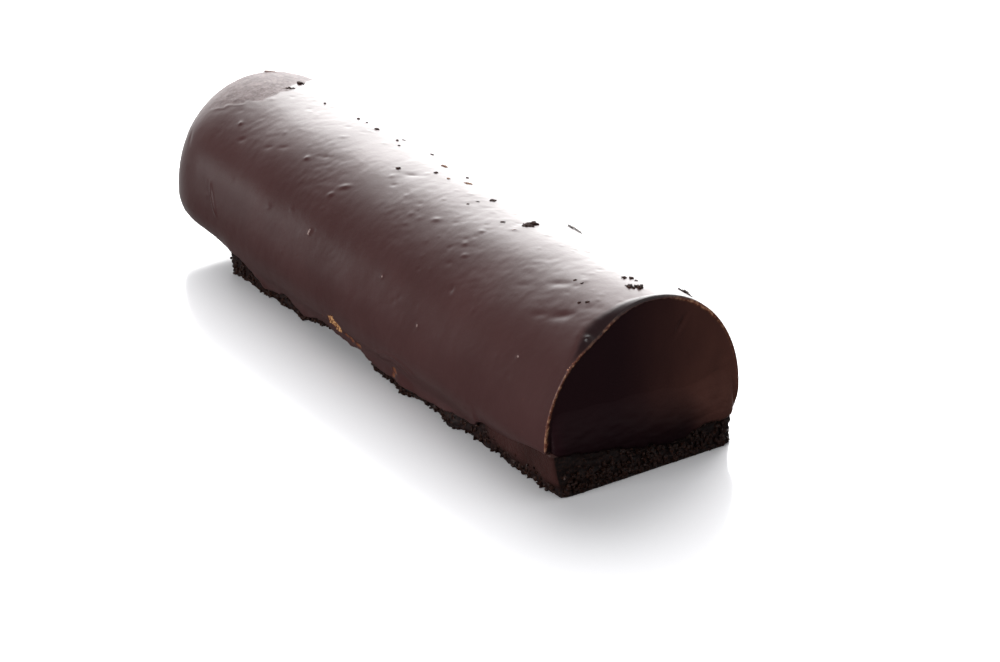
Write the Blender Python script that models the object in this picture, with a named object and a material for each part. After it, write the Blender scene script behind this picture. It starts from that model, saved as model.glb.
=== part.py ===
"""A yule log cake: a half-round log under chocolate glaze, set on a coated biscuit base.

Two solids, each an uneven loft along X. Sizes are in millimetres up to the mesh.
"""
import math

import bmesh
import bpy
from mathutils import Matrix, Vector, noise

MM = 0.001

# The log: a rounded back end at -X, a flat cut end at +X
LOG_BACK = -131.0
LOG_FRONT = 128.0
HALF_WIDTH = 40.0
TOP = 63.6
WIDEST = 20.0           # height at which the log is widest
TUCK_LEFT = 0.035       # how fast the wall turns in below its widest height, per mm
TUCK_RIGHT = 0.042
BACK_SQUARE = 0.03      # fullness of the left shoulder at the back, 0 is an ellipse
FRONT_SQUARE = -0.022
END_DEPTH = 25.0        # length over which the back end rounds off
END_POWER = 9.5
END_CENTRE = 36.0       # height that the back end closes on
WAVE = 0.35             # gentle unevenness of the hand-poured glaze
WAVE_LENGTH = 34.0
RIM_BEVEL = 0.6

# The base under it, with its seam to the log
BASE_BACK = -87.0
BASE_FRONT = 131.0
BASE_INSET = 1.2        # the base's top edge lies inside the log's lower edge
FOOT_LEFT = 34.6
FOOT_RIGHT = 35.5
RAGGED = 1.3            # how unevenly the foot of the coating runs
RAGGED_LENGTH = 11.0
GAP = 0.3

# Height of the seam along the left side and along the right side, as (x, z)
SEAM_LEFT = [(-131, 12.5), (-55, 10.3), (5, 11.0), (60, 8.6), (92, 11.0), (128, 17.5)]
SEAM_RIGHT = [(-131, 12.5), (-40, 11.4), (40, 10.0), (95, 11.6), (128, 12.4)]

# The broken-out stretch of coating low on the left side: centre x, half length, depth
BITE = (-11.0, 24.0, 5.5)
# Low swellings of the base's coating: x, half length, how far it stands out, side
BULGES = [(122.0, 9.0, 3.6, 1), (36.0, 7.0, 2.4, -1), (66.0, 9.0, 1.8, -1), (-66.0, 14.0, 1.2, -1),
          (-30.0, 16.0, 2.0, 1), (60.0, 14.0, 1.5, 1)]

# Larger crumbs on the glaze: x, angle up the section from the left side, length, width, height, turn
CRUMBS = [(58.5, 93, 5.4, 2.7, 2.2, 10), (118.0, 93, 5.2, 2.4, 2.4, 25), (112.5, 96, 2.6, 1.9, 1.5, 70),
          (53.5, 122, 4.4, 1.4, 1.2, -30), (-102.5, 99, 3.0, 2.2, 1.4, 40), (-98.0, 89, 2.2, 1.7, 1.2, 0),
          (16.0, 97, 2.4, 1.8, 1.4, 55), (8.5, 91, 2.2, 1.7, 1.3, 15), (31.0, 86, 2.3, 1.6, 1.3, -20),
          (-10.5, 79, 2.2, 1.6, 1.2, 80), (121.0, 121, 2.8, 1.6, 1.4, 5), (101.5, 76, 2.4, 1.5, 1.2, -40)]
CRUMB_SUNK = 0.35       # share of a crumb's height that sits below the glaze

# How finely the solids are faceted
ARCH_STEPS = 34
WALL_STEPS = 3
UNDER_STEPS = 6
STATION_STEP = 7.0
END_RINGS = (0.35, 0.62, 0.8, 0.88, 0.93, 0.965, 0.985)

GLAZE_COLOR = (0.040, 0.022, 0.018)
COATING_COLOR = (0.034, 0.019, 0.015)


def along(points, x):
    """Value at x of a smooth profile through a few (x, value) points."""
    if x <= points[0][0]:
        return points[0][1]
    for (x0, v0), (x1, v1) in zip(points, points[1:]):
        if x <= x1:
            t = (x - x0) / (x1 - x0)
            return v0 + (v1 - v0) * t * t * (3 - 2 * t)
    return points[-1][1]


def hump(x, centre, half_length):
    """1 at the centre, falling smoothly to 0 at half_length either side."""
    t = min(abs(x - centre) / half_length, 1.0)
    return (1 - t * t) ** 2


def seam_height(x, y):
    """Height of the joint between log and base, blended across the width."""
    t = min(max((y + HALF_WIDTH) / (2 * HALF_WIDTH), 0.0), 1.0)
    return along(SEAM_LEFT, x) * (1 - t) + along(SEAM_RIGHT, x) * t


def wall_half_width(z, side):
    """Half width of the log's wall at or below its widest height."""
    tuck = TUCK_LEFT if side < 0 else TUCK_RIGHT
    return HALF_WIDTH - tuck * (WIDEST - z) ** 2


def shoulder(x, angle):
    """How far the section stands out from a plain ellipse."""
    if angle > math.pi / 2:
        return 1.0
    t = (x - LOG_BACK) / (LOG_FRONT - LOG_BACK)
    square = BACK_SQUARE + (FRONT_SQUARE - BACK_SQUARE) * t
    return 1 + square * math.sin(2 * angle) ** 2


def arch_point(x, angle):
    """Point of the glazed arch, from angle 0 at the left side to pi at the right."""
    out = Vector((x, -math.cos(angle), math.sin(angle)))
    full = shoulder(x, angle)
    wave = WAVE * noise.noise(Vector((x, 60 * angle, 0)) / WAVE_LENGTH) * math.sin(angle)
    y = out.y * (HALF_WIDTH * full + wave)
    z = WIDEST + out.z * ((TOP - WIDEST) * full + wave)
    return Vector((x, y, z))


def log_section(x):
    """Closed ring of the log at x: left wall, arch, right wall and underside."""
    low_left = seam_height(x, -HALF_WIDTH) + GAP / 2
    low_right = seam_height(x, HALF_WIDTH) + GAP / 2
    ring = []
    for i in range(WALL_STEPS):
        z = low_left + (WIDEST - low_left) * i / WALL_STEPS
        ring.append(Vector((x, -wall_half_width(z, -1), z)))
    ring += [arch_point(x, math.pi * i / ARCH_STEPS) for i in range(ARCH_STEPS + 1)]
    for i in range(1, WALL_STEPS + 1):
        z = WIDEST + (low_right - WIDEST) * i / WALL_STEPS
        ring.append(Vector((x, wall_half_width(z, 1), z)))
    y_right = ring[-1].y
    y_left = ring[0].y
    for i in range(1, UNDER_STEPS):
        y = y_right + (y_left - y_right) * i / UNDER_STEPS
        ring.append(Vector((x, y, seam_height(x, y) + GAP / 2)))
    return ring


def scaled_ring(ring, share, x):
    """The ring shrunk on to the axis that the ends close on, moved to x."""
    return [Vector((x, p.y * share, END_CENTRE + (p.z - END_CENTRE) * share)) for p in ring]


def stations(start, stop):
    """Evenly spaced places along X from start to stop, both included."""
    count = max(1, math.ceil((stop - start) / STATION_STEP))
    return [start + (stop - start) * i / count for i in range(count + 1)]


def log_rings():
    """All rings of the log, from the middle of its back end to its front rim."""
    first = LOG_BACK + END_DEPTH
    full = log_section(first)
    rings = []
    for share in END_RINGS:
        x = LOG_BACK + END_DEPTH * (1 - math.sqrt(1 - share ** END_POWER))
        rings.append(scaled_ring(full, share, x))
    rings += [log_section(x) for x in stations(first, BASE_BACK)[:-1]]
    rings += [log_section(x) for x in stations(BASE_BACK, LOG_FRONT - RIM_BEVEL)]
    rim_share = 1 - RIM_BEVEL / HALF_WIDTH
    rings.append(scaled_ring(log_section(LOG_FRONT), rim_share, LOG_FRONT))
    return rings


def foot_half_width(x, side):
    """Half width of the base at the floor: ragged, with swellings and the broken-out stretch."""
    foot = FOOT_LEFT if side < 0 else FOOT_RIGHT
    foot += RAGGED * noise.noise(Vector((x / RAGGED_LENGTH, 3.7 * side, 0)))
    foot += sum(out * hump(x, centre, half) for centre, half, out, edge in BULGES if edge == side)
    if side < 0:
        foot -= BITE[2] * hump(x, BITE[0], BITE[1]) ** 0.5
    return foot


def base_section(x, lift):
    """Closed ring of the base at x, its foot raised by lift where the front leans out."""
    ring = []
    top_z = {side: seam_height(x, side * HALF_WIDTH) - GAP / 2 for side in (-1, 1)}
    top_y = {side: wall_half_width(top_z[side], side) - BASE_INSET for side in (-1, 1)}
    foot = {side: foot_half_width(x, side) for side in (-1, 1)}
    for side, steps in ((-1, (0.0, 0.2, 0.55, 1.0)), (1, (1.0, 0.55, 0.2, 0.0))):
        if side > 0:
            for i in range(1, UNDER_STEPS):
                y = -top_y[-1] + (top_y[1] + top_y[-1]) * i / UNDER_STEPS
                ring.append(Vector((x, y, seam_height(x, y) - GAP / 2)))
        for t in steps:
            swell = 0.9 * math.sin(math.pi * t)
            y = foot[side] + (top_y[side] - foot[side]) * t + swell
            ring.append(Vector((x, side * y, lift + (top_z[side] - lift) * t)))
    return ring


def base_end(x, shrink, lift, rough):
    """An end ring of the base: its sides drawn in, its top lowered, its foot lifted, its face uneven."""
    ring = []
    for p in base_section(x, lift):
        lower = shrink * min(1.0, p.z / 6)
        uneven = rough * noise.noise(Vector((p.y, p.z, 0)) / RAGGED_LENGTH)
        ring.append(Vector((x + uneven, p.y * (1 - shrink / HALF_WIDTH), p.z - lower)))
    return ring


def base_rings():
    """All rings of the base, on the log's own stations so that the seam stays parallel."""
    places = stations(BASE_BACK, LOG_FRONT - RIM_BEVEL)
    rings = [base_end(BASE_BACK - 1.6, 1.4, 0.8, 0.8)]
    rings += [base_section(x, 0.0) for x in places[:-1]]
    rings.append(base_end(places[-1], 0.2, 0.0, 0.0))
    rings.append(base_end(BASE_FRONT - 1.1, 1.2, 0.8, 0.6))
    rings.append(base_end(BASE_FRONT, 3.0, 2.4, 0.0))
    return rings


def loft(name, rings, color, roughness):
    """A closed mesh object through the rings, with a fan over each end."""
    bm = bmesh.new()
    loops = [[bm.verts.new(p * MM) for p in ring] for ring in rings]
    for a, b in zip(loops, loops[1:]):
        for i in range(len(a)):
            j = (i + 1) % len(a)
            bm.faces.new((a[i], a[j], b[j], b[i]))
    for loop in (loops[0], loops[-1]):
        middle = bm.verts.new(sum((v.co for v in loop), Vector()) / len(loop))
        for i in range(len(loop)):
            bm.faces.new((loop[i - 1], loop[i], middle))
    bmesh.ops.triangulate(bm, faces=bm.faces)
    bmesh.ops.recalc_face_normals(bm, faces=bm.faces)
    mesh = bpy.data.meshes.new(name)
    bm.to_mesh(mesh)
    bm.free()
    mesh.shade_smooth()
    mesh.set_sharp_from_angle(angle=math.radians(50))
    piece = bpy.data.objects.new(name, mesh)
    piece.data.materials.append(food_material(name, color, roughness))
    return piece


def food_material(name, color, roughness):
    material = bpy.data.materials.new(name)
    material.use_nodes = True
    shader = material.node_tree.nodes["Principled BSDF"]
    shader.inputs["Base Color"].default_value = (*color, 1)
    shader.inputs["Roughness"].default_value = roughness
    shader.inputs["Metallic"].default_value = 0.0
    return material


def crumb(index, x, angle, length, width, height, turn):
    """An uneven lump of biscuit half sunk in the glaze at an angle up the section."""
    bpy.ops.mesh.primitive_ico_sphere_add(subdivisions=2 if length > 4 else 1, radius=0.5)
    piece = bpy.context.object
    piece.name = "crumb_%02d" % index
    for vert in piece.data.vertices:
        uneven = 1 + 0.35 * noise.noise(vert.co * 2.6 + Vector((index, 0, 0)))
        vert.co *= uneven
    at = math.radians(angle)
    here = arch_point(x, at)
    across = (arch_point(x, at + 0.02) - arch_point(x, at - 0.02)).normalized()
    out = Vector((1, 0, 0)).cross(across)
    size = Matrix.Diagonal((length, width, height, 1))
    lay = Matrix.Rotation(math.radians(turn), 4, "Z")
    stand = Matrix((Vector((1, 0, 0)), across, out)).transposed().to_4x4()
    centre = here + out * height * (0.5 - CRUMB_SUNK)
    piece.data.transform(Matrix.Scale(MM, 4) @ Matrix.Translation(centre) @ stand @ lay @ size)
    return piece


def fuse_crumbs(log, crumbs, cutters):
    """Join the crumbs to the log with one Boolean union, then remove them."""
    for piece in crumbs:
        for owner in piece.users_collection:
            owner.objects.unlink(piece)
        cutters.objects.link(piece)
    union = log.modifiers.new("crumbs", "BOOLEAN")
    union.operation = "UNION"
    union.solver = "EXACT"
    union.operand_type = "COLLECTION"
    union.collection = cutters
    bpy.context.view_layer.update()
    fused = bpy.data.meshes.new_from_object(log.evaluated_get(bpy.context.evaluated_depsgraph_get()))
    log.modifiers.remove(union)
    log.data = fused
    for piece in crumbs:
        bpy.data.objects.remove(piece)


def stand_on_origin(pieces):
    """Move the meshes so that the origin is under the middle of the whole cake."""
    points = [v.co for piece in pieces for v in piece.data.vertices]
    low = Vector([min(p[i] for p in points) for i in range(3)])
    high = Vector([max(p[i] for p in points) for i in range(3)])
    middle = (low + high) / 2
    for piece in pieces:
        piece.data.transform(Matrix.Translation((-middle.x, -middle.y, -low.z)))


def main():
    for old in list(bpy.data.objects):
        bpy.data.objects.remove(old)
    cake = bpy.data.collections.new("yule_log_cake")
    cutters = bpy.data.collections.new("crumbs_to_fuse")
    bpy.context.scene.collection.children.link(cake)
    bpy.context.scene.collection.children.link(cutters)
    log = loft("log", log_rings(), GLAZE_COLOR, 0.3)
    base = loft("base", base_rings(), COATING_COLOR, 0.5)
    for piece in (log, base):
        cake.objects.link(piece)
    fuse_crumbs(log, [crumb(i, *size) for i, size in enumerate(CRUMBS)], cutters)
    bpy.data.collections.remove(cutters)
    stand_on_origin([log, base])


main()
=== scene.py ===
"""Looks of the yule log cake: glaze, front face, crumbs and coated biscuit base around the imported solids."""
import math
import random

import bmesh
import bpy
import numpy as np
from mathutils import Matrix, Vector, noise


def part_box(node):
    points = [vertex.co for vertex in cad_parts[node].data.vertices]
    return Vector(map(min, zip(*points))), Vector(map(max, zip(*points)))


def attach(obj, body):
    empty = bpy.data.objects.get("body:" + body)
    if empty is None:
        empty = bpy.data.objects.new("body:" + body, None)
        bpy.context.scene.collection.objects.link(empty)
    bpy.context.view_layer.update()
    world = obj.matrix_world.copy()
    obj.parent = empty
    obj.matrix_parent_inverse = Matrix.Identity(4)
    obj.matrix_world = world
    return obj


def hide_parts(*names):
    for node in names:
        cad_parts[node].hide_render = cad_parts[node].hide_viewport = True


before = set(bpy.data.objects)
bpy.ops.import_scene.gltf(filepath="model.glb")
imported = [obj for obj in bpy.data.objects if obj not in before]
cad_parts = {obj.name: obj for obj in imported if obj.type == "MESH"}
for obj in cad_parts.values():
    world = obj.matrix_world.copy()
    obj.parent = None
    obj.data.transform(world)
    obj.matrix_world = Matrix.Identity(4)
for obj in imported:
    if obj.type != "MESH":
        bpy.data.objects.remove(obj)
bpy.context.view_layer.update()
MM = 0.001

# Places along the cake, read from the solids, in millimetres
LOG_LOW, LOG_HIGH = (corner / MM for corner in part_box("log"))
BASE_LOW, BASE_HIGH = (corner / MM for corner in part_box("base"))
LOG_BACK, LOG_FRONT = LOG_LOW.x, LOG_HIGH.x
BASE_BACK, BASE_FRONT = BASE_LOW.x, BASE_HIGH.x
HALF_WIDTH = (LOG_HIGH.y - LOG_LOW.y) / 2

# The log's form, as in its solid
TOP = 63.6
WIDEST = 20.0
TUCK_LEFT = 0.035
TUCK_RIGHT = 0.042
BACK_SQUARE = 0.03
FRONT_SQUARE = -0.022
END_DEPTH = 25.0
END_POWER = 9.5
END_CENTRE = 36.0
WAVE = 0.35
WAVE_LENGTH = 34.0
GAP = 0.3
SEAM_LEFT = [(-131, 12.5), (-55, 10.3), (5, 11.0), (60, 8.6), (92, 11.0), (128, 17.5)]
SEAM_RIGHT = [(-131, 12.5), (-40, 11.4), (40, 10.0), (95, 11.6), (128, 12.4)]

# The base's form, as in its solid
BASE_INSET = 1.2
FOOT_LEFT = 34.6
FOOT_RIGHT = 35.5
RAGGED = 1.3
RAGGED_LENGTH = 11.0
BITE = (-11.0, 24.0, 5.5)
BULGES = [(122.0, 9.0, 3.6, 1), (36.0, 7.0, 2.4, -1), (66.0, 9.0, 1.8, -1), (-66.0, 14.0, 1.2, -1),
          (-30.0, 16.0, 2.0, 1), (60.0, 14.0, 1.5, 1)]
FRONT_CLEAR = 0.4

# Where the glaze stops low on the sides and on the front: (x, z) at the sides, (y, z) on the front
EDGE_LEFT = [(-90, 12.2), (-77, 12.0), (-73, 9.8), (-69.7, 7.9), (-64, 6.0), (-60, 3.6), (-52, 5.0),
             (-44, 7.4), (-37, 5.0), (-31, 3.4), (-27.7, 4.3), (-22, 6.6), (-17, 6.9), (-6.6, 5.4),
             (0.2, 4.6), (8.5, 5.7), (13, 3.6), (22, 2.8), (32, 3.6), (45, 2.6), (58, 3.8), (70, 6.4),
             (80, 7.2), (87, 10.6), (128, 17.6)]
EDGE_RIGHT = [(-90, 12.0), (-80, 9.5), (-62, 5.0), (-45, 7.2), (-12, 3.4), (18, 6.0), (48, 3.8), (80, 7.0),
              (104, 4.6), (118, 8.5), (127, 12.5)]
EDGE_FRONT = [(-39, 17.0), (-33.9, 16.2), (-17.7, 13.6), (0, 10.0), (11.3, 8.0), (15.4, 8.6), (19.6, 10.0),
              (23.8, 11.4), (32.3, 10.6), (38, 12.0)]
GLAZE_THICK = 0.8

# Towards the front the glaze stops cleanly at the seam, between these places at each side
CLEAN_LEFT = (84, 90)
CLEAN_RIGHT = (112, 124)

# How finely the meshes are cut: steps in millimetres, and counts of rings, columns and rows
SKIN_STEP = 0.65
ARCH_COLUMNS = 250
WALL_COLUMNS = 34
UNDER_COLUMNS = 22
LEFT_COLUMNS = WALL_COLUMNS + 30
INNER_SHARE = 0.7
INNER_RINGS = 22
OUTER_RINGS = 48
LAST_RINGS = 14
FACE_RINGS = 74
BASE_STEP = 0.6
SIDE_COLUMNS = 34
CAP_RINGS = 46
RUN_COLUMNS = 151
RUN_ROWS = 70

# Noise of several octaves: how quickly they fade and how much finer each one is
NOISE_FADE = 0.9
NOISE_FINER = 2.1

# The camera stands where the photograph was taken from
CAMERA_AZIMUTH = math.radians(55.88)
CAMERA_ELEVATION = math.radians(25.83)
CAMERA_DISTANCE = 1.0845
CAMERA_LENS = 108.0
CAMERA_SENSOR = 36
AIM_HEIGHT = 0.030
AIM_RIGHT = 0.0242
AIM_UP = -0.0267


def profile(points, x):
    """Values at x, a number or an array, of a smooth profile through a few (x, value) points."""
    x = np.asarray(x, float)
    value = np.full(x.shape, float(points[0][1]))
    for (x0, v0), (x1, v1) in zip(points, points[1:]):
        t = np.clip((x - x0) / (x1 - x0), 0, 1)
        value = np.where(x >= x0, v0 + (v1 - v0) * t * t * (3 - 2 * t), value)
    return value


def fade(low, high, x):
    """0 below low, 1 above high, smooth between."""
    t = np.clip((np.asarray(x, float) - low) / (high - low), 0, 1)
    return t * t * (3 - 2 * t)


def bell(x, centre, half_width):
    """1 at the centre, dying away smoothly beyond half_width to each side."""
    return np.exp(-((x - centre) / half_width) ** 2)


def hump(x, centre, half_length):
    """1 at the centre, 0 from half_length on to each side."""
    t = np.minimum(np.abs(x - centre) / half_length, 1.0)
    return (1 - t * t) ** 2


def grain(points, octaves=1):
    """Smooth noise from -1 to 1 at an array of points."""
    flat = np.asarray(points, float).reshape(-1, 3)
    if octaves == 1:
        found = [noise.noise(p) for p in flat.tolist()]
    else:
        found = [noise.fractal(p, NOISE_FADE, NOISE_FINER, octaves) for p in flat.tolist()]
    return np.array(found).reshape(np.asarray(points).shape[:-1])


def stack(*parts):
    """Coordinates broadcast against each other and put side by side."""
    return np.stack(np.broadcast_arrays(*parts), axis=-1).astype(float)


def larger(a, b, softness):
    """The larger of two arrays, rounded where they cross."""
    return 0.5 * (a + b + np.sqrt((a - b) ** 2 + softness ** 2))


def seam_height(x, y):
    """Height of the seam between the log and its base."""
    t = np.clip((y + HALF_WIDTH) / (2 * HALF_WIDTH), 0, 1)
    return profile(SEAM_LEFT, x) * (1 - t) + profile(SEAM_RIGHT, x) * t


def clean_seam(x, side):
    """Where the glaze stops cleanly at the seam, from 0 to 1."""
    return fade(*(CLEAN_LEFT if side < 0 else CLEAN_RIGHT), x)


def wall_half_width(z, side):
    """Half width of the log's wall at a height below its widest line."""
    tuck = TUCK_LEFT if side < 0 else TUCK_RIGHT
    return HALF_WIDTH - tuck * (WIDEST - z) ** 2


def foot_half_width(x, side, bitten=True):
    """Half width of the base's ragged foot, broken out on the left."""
    foot = FOOT_LEFT if side < 0 else FOOT_RIGHT
    foot = foot + RAGGED * grain(stack(x / RAGGED_LENGTH, 3.7 * side, 0))
    for centre, half, out, edge in BULGES:
        if edge == side:
            foot = foot + out * hump(x, centre, half)
    if side < 0 and bitten:
        foot = foot - BITE[2] * hump(x, BITE[0], BITE[1]) ** 0.5
    return foot


def base_half_width(x, z, side, bitten=True):
    """Half width of the coated base at a height, between its foot and the seam."""
    seam = seam_height(x, side * HALF_WIDTH)
    t = np.clip(z / seam, 0, 1)
    foot = foot_half_width(x, side, bitten)
    return foot + (wall_half_width(seam, side) - BASE_INSET - foot) * t


def arch(x, angle):
    """Points of the glazed arch, from angle 0 at the left side to pi at the right."""
    x, angle = np.broadcast_arrays(np.asarray(x, float), np.asarray(angle, float))
    t = (x - LOG_BACK) / (LOG_FRONT - LOG_BACK)
    square = (BACK_SQUARE + (FRONT_SQUARE - BACK_SQUARE) * t) * np.sin(2 * angle) ** 2
    full = 1 + np.where(angle > np.pi / 2, 0.0, square)
    wave = WAVE * grain(stack(x, 60 * angle, 0) / WAVE_LENGTH) * np.sin(angle)
    y = -np.cos(angle) * (HALF_WIDTH * full + wave)
    z = WIDEST + np.sin(angle) * ((TOP - WIDEST) * full + wave)
    return stack(x, y, z)


def arch_frame(x, degrees):
    """Point, direction up the section and outward direction at one place on the arch."""
    angle = math.radians(degrees)
    straight = max(x, LOG_BACK + END_DEPTH)
    here, ahead, behind = (Vector(arch(straight, angle + d).tolist()) for d in (0, 0.02, -0.02))
    across = (ahead - behind).normalized()
    deep = min((x - LOG_BACK) / END_DEPTH, 1.0)
    share = (1 - (1 - deep) ** 2) ** (1 / END_POWER)
    here = Vector((x, here.y * share, END_CENTRE + (here.z - END_CENTRE) * share))
    return here, across, Vector((1, 0, 0)).cross(across)


class Value:
    """A number in a node tree: sums and products of it add the Math nodes."""

    def __init__(self, nodes, socket):
        self.nodes = nodes
        self.socket = socket

    def math(self, operation, *others):
        """A Math node over these numbers."""
        sockets = {i: v for i, v in enumerate(others)}
        return self.nodes.node("ShaderNodeMath", {"operation": operation}, sockets)

    def __add__(self, other):
        return self.math("ADD", self, other)

    __radd__ = __add__

    def __sub__(self, other):
        return self.math("SUBTRACT", self, other)

    def __rsub__(self, other):
        return self.math("SUBTRACT", other, self)

    def __mul__(self, other):
        return self.math("MULTIPLY", self, other)

    __rmul__ = __mul__

    def clamped(self):
        return self.math("MINIMUM", self.math("MAXIMUM", self, 0.0), 1.0)

    def between(self, low, high):
        """0 below low, 1 above high, smooth between."""
        settings = {"interpolation_type": "SMOOTHSTEP"}
        return self.nodes.node("ShaderNodeMapRange", settings, {0: self, 1: low, 2: high})


class Nodes:
    """A node tree under construction."""

    def __init__(self, tree):
        self.tree = tree

    def node(self, kind, settings=None, sockets=None, output=0):
        """A node of a kind: its settings first, then the values or links of its sockets."""
        made = self.tree.nodes.new(kind)
        for name, value in (settings or {}).items():
            setattr(made, name, value)
        for key, value in (sockets or {}).items():
            if isinstance(value, Value):
                self.tree.links.new(value.socket, made.inputs[key])
            else:
                made.inputs[key].default_value = value
        return Value(self, made.outputs[output]) if made.outputs else None


class Finish(Nodes):
    """A material under construction; constants are set on its shader's own sockets."""

    def __init__(self, name, **constants):
        self.material = bpy.data.materials.new(name)
        self.material.use_nodes = True
        super().__init__(self.material.node_tree)
        self.shader = self.tree.nodes["Principled BSDF"]
        for socket, value in constants.items():
            self.shader.inputs[socket.replace("_", " ")].default_value = value

    def place(self, stretch=(1, 1, 1)):
        """The point being shaded, in millimetres, divided by a stretch."""
        where = self.node("ShaderNodeNewGeometry", output="Position")
        scale = [1 / (MM * s) for s in stretch]
        return self.node("ShaderNodeVectorMath", {"operation": "MULTIPLY"}, {0: where, 1: scale})

    def speckle(self, size, detail=2.0, stretch=(1, 1, 1)):
        """Noise from 0 to 1 whose spots are about size millimetres across."""
        sockets = {"Vector": self.place(stretch), "Scale": 1 / size, "Detail": detail}
        return self.node("ShaderNodeTexNoise", {}, sockets)

    def mask(self, name):
        """A number stored on the mesh's points."""
        return self.node("ShaderNodeAttribute", {"attribute_name": name}, output="Fac")

    def blend(self, a, b, factor):
        """Colour a where factor is 0 and b where it is 1."""
        sockets = {"Factor": factor, 6: a, 7: b}
        return self.node("ShaderNodeMix", {"data_type": "RGBA"}, sockets, output=2)

    def surface(self, **inputs):
        """Link values to the shader's sockets."""
        for socket, value in inputs.items():
            self.tree.links.new(value.socket, self.shader.inputs[socket.replace("_", " ")])

    def relief(self, height, distance):
        """Bump the normal by a height, distance millimetres high where it is 1."""
        sockets = {"Height": height, "Distance": distance * MM, "Strength": 1.0}
        self.surface(Normal=self.node("ShaderNodeBump", {}, sockets))


DARK_CHOCOLATE = (0.052, 0.0205, 0.0200, 1)
PALE_CHOCOLATE = (0.064, 0.0265, 0.0260, 1)
FACE_CHOCOLATE = (0.019, 0.0070, 0.0090, 1)
# Painted reflection brown for the front face, and painted shade black for its low part and for the glaze's
# front edge
FACE_PAINTED_REFLECTION = (0.115, 0.0460, 0.0350, 1)
PAINTED_SHADE_BLACK = (0.008, 0.0022, 0.0034, 1)
COATING_DARK = (0.030, 0.0110, 0.0092, 1)
COATING_PALE = (0.046, 0.0170, 0.0150, 1)
MOIST_CRUMB = (0.0070, 0.0024, 0.0024, 1)
CRUMB_BROWN = (0.0300, 0.0115, 0.0075, 1)
RIM_DARK = (0.200, 0.062, 0.034, 1)
RIM_LIGHT = (0.560, 0.290, 0.170, 1)
TAN_BISCUIT = (0.60, 0.34, 0.155, 1)
RUST_BISCUIT = (0.19, 0.060, 0.022, 1)
BLOOM = (0.150, 0.100, 0.098, 1)
CRUMB_BLACK = (0.014, 0.006, 0.005, 1)
CRUMB_DARK = (0.055, 0.023, 0.017, 1)
FLAKE_DARK = (0.045, 0.030, 0.028, 1)
FLAKE_LIGHT = (0.130, 0.095, 0.085, 1)
TAN_DARK = (0.20, 0.085, 0.050, 1)
TAN_LIGHT = (0.50, 0.29, 0.17, 1)
SPECK_DARK = (0.16, 0.095, 0.085, 1)
SPECK_LIGHT = (0.34, 0.24, 0.22, 1)
FLOOR_SEEN = (0.93, 0.93, 0.95, 1)
FLOOR_LIGHTING = (0.055, 0.055, 0.055, 1)


def torn_color(finish, color):
    """The colour with cut biscuit and torn glaze showing where the mask is."""
    mixed = finish.speckle(1.3, 3)
    biscuit = finish.blend(RIM_DARK, RIM_LIGHT, mixed.between(0.46, 0.68))
    return finish.blend(color, biscuit, (finish.mask("torn") * mixed.between(0.26, 0.42)).clamped())


def glaze_finish():
    """Dark chocolate glaze, dull and greyer where it is thin at the back of the top, with painted shade along
    its rounded front edge.
    """
    finish = Finish("chocolate_glaze", IOR=1.46)
    patch = finish.mask("thin_patch")
    torn = finish.mask("torn")
    biscuit = finish.mask("biscuit")
    edge_shade = finish.mask("edge_shade")
    broad = finish.speckle(38, 3)
    fine = finish.speckle(1.1, 4)
    uneven = finish.speckle(5.5, 3)
    blotch = finish.speckle(3.2, 3)
    color = finish.blend(DARK_CHOCOLATE, PALE_CHOCOLATE, broad.between(0.35, 0.75))
    color = finish.blend(color, BLOOM, (patch * (fine + blotch).between(0.75, 1.30)).clamped())
    # Painted shade: the glaze is coloured nearly black along its rounded front edge
    color = torn_color(finish, finish.blend(color, PAINTED_SHADE_BLACK, edge_shade * 0.85))
    crumb = finish.blend(RUST_BISCUIT, TAN_BISCUIT, (fine + blotch + biscuit).between(1.75, 2.05))
    color = finish.blend(color, crumb, biscuit)
    rough = 0.26 + broad * 0.05 + uneven * 0.06 + patch * 0.26 + torn * 0.25 + biscuit * 0.4
    finish.surface(Base_Color=color, Roughness=rough)
    grainy = 0.25 + patch * 0.3 + torn * 1.0 + biscuit * 1.6
    finish.relief(fine * grainy + uneven * 0.6 - edge_shade * 2.2, 0.10)
    return finish.material


def face_finish():
    """The flat front and the glaze that ran down from it: nearly black, with a painted reflection browning it
    to the right and painted shade blackening it low down and on the left.
    """
    finish = Finish("face_glaze", Specular_IOR_Level=0.06)
    smear = finish.speckle(14, 3, stretch=(1, 1, 2.2))
    fine = finish.speckle(1.4, 4)
    across = finish.node("ShaderNodeSeparateXYZ", {}, {0: finish.place()}, output="Y")
    height = finish.node("ShaderNodeSeparateXYZ", {}, {0: finish.place()}, output="Z")
    # Painted reflection: the face turns unevenly browner towards its right side
    color = finish.blend(FACE_CHOCOLATE, FACE_PAINTED_REFLECTION, (across.between(-14, 40) * (0.34 + smear)).clamped())
    # Painted shade: the face turns nearly black low down and on its left
    above = (height.between(10, 30) + across.between(14, 34)).clamped()
    color = torn_color(finish, finish.blend(PAINTED_SHADE_BLACK, color, above))
    finish.surface(Base_Color=color, Roughness=0.34 + smear * 0.12 + finish.mask("torn") * 0.3)
    finish.relief(fine * 0.3 + smear, 0.14)
    return finish.material


def coating_finish():
    """The base's coating: chocolate again, rougher, broken into dark moist crumb low down."""
    finish = Finish("chocolate_coating", Specular_IOR_Level=0.22)
    bare = finish.mask("bare")
    broad = finish.speckle(16, 3)
    fine = finish.speckle(0.9, 4)
    color = finish.blend(COATING_DARK, COATING_PALE, broad.between(0.35, 0.7))
    crumb = finish.blend(MOIST_CRUMB, CRUMB_BROWN, fine.between(0.45, 0.72))
    color = finish.blend(color, crumb, (bare * (0.7 + fine)).clamped())
    finish.surface(Base_Color=color, Roughness=0.38 + fine * 0.14 + bare * 0.2)
    finish.relief(fine, 0.22)
    return finish.material


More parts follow.
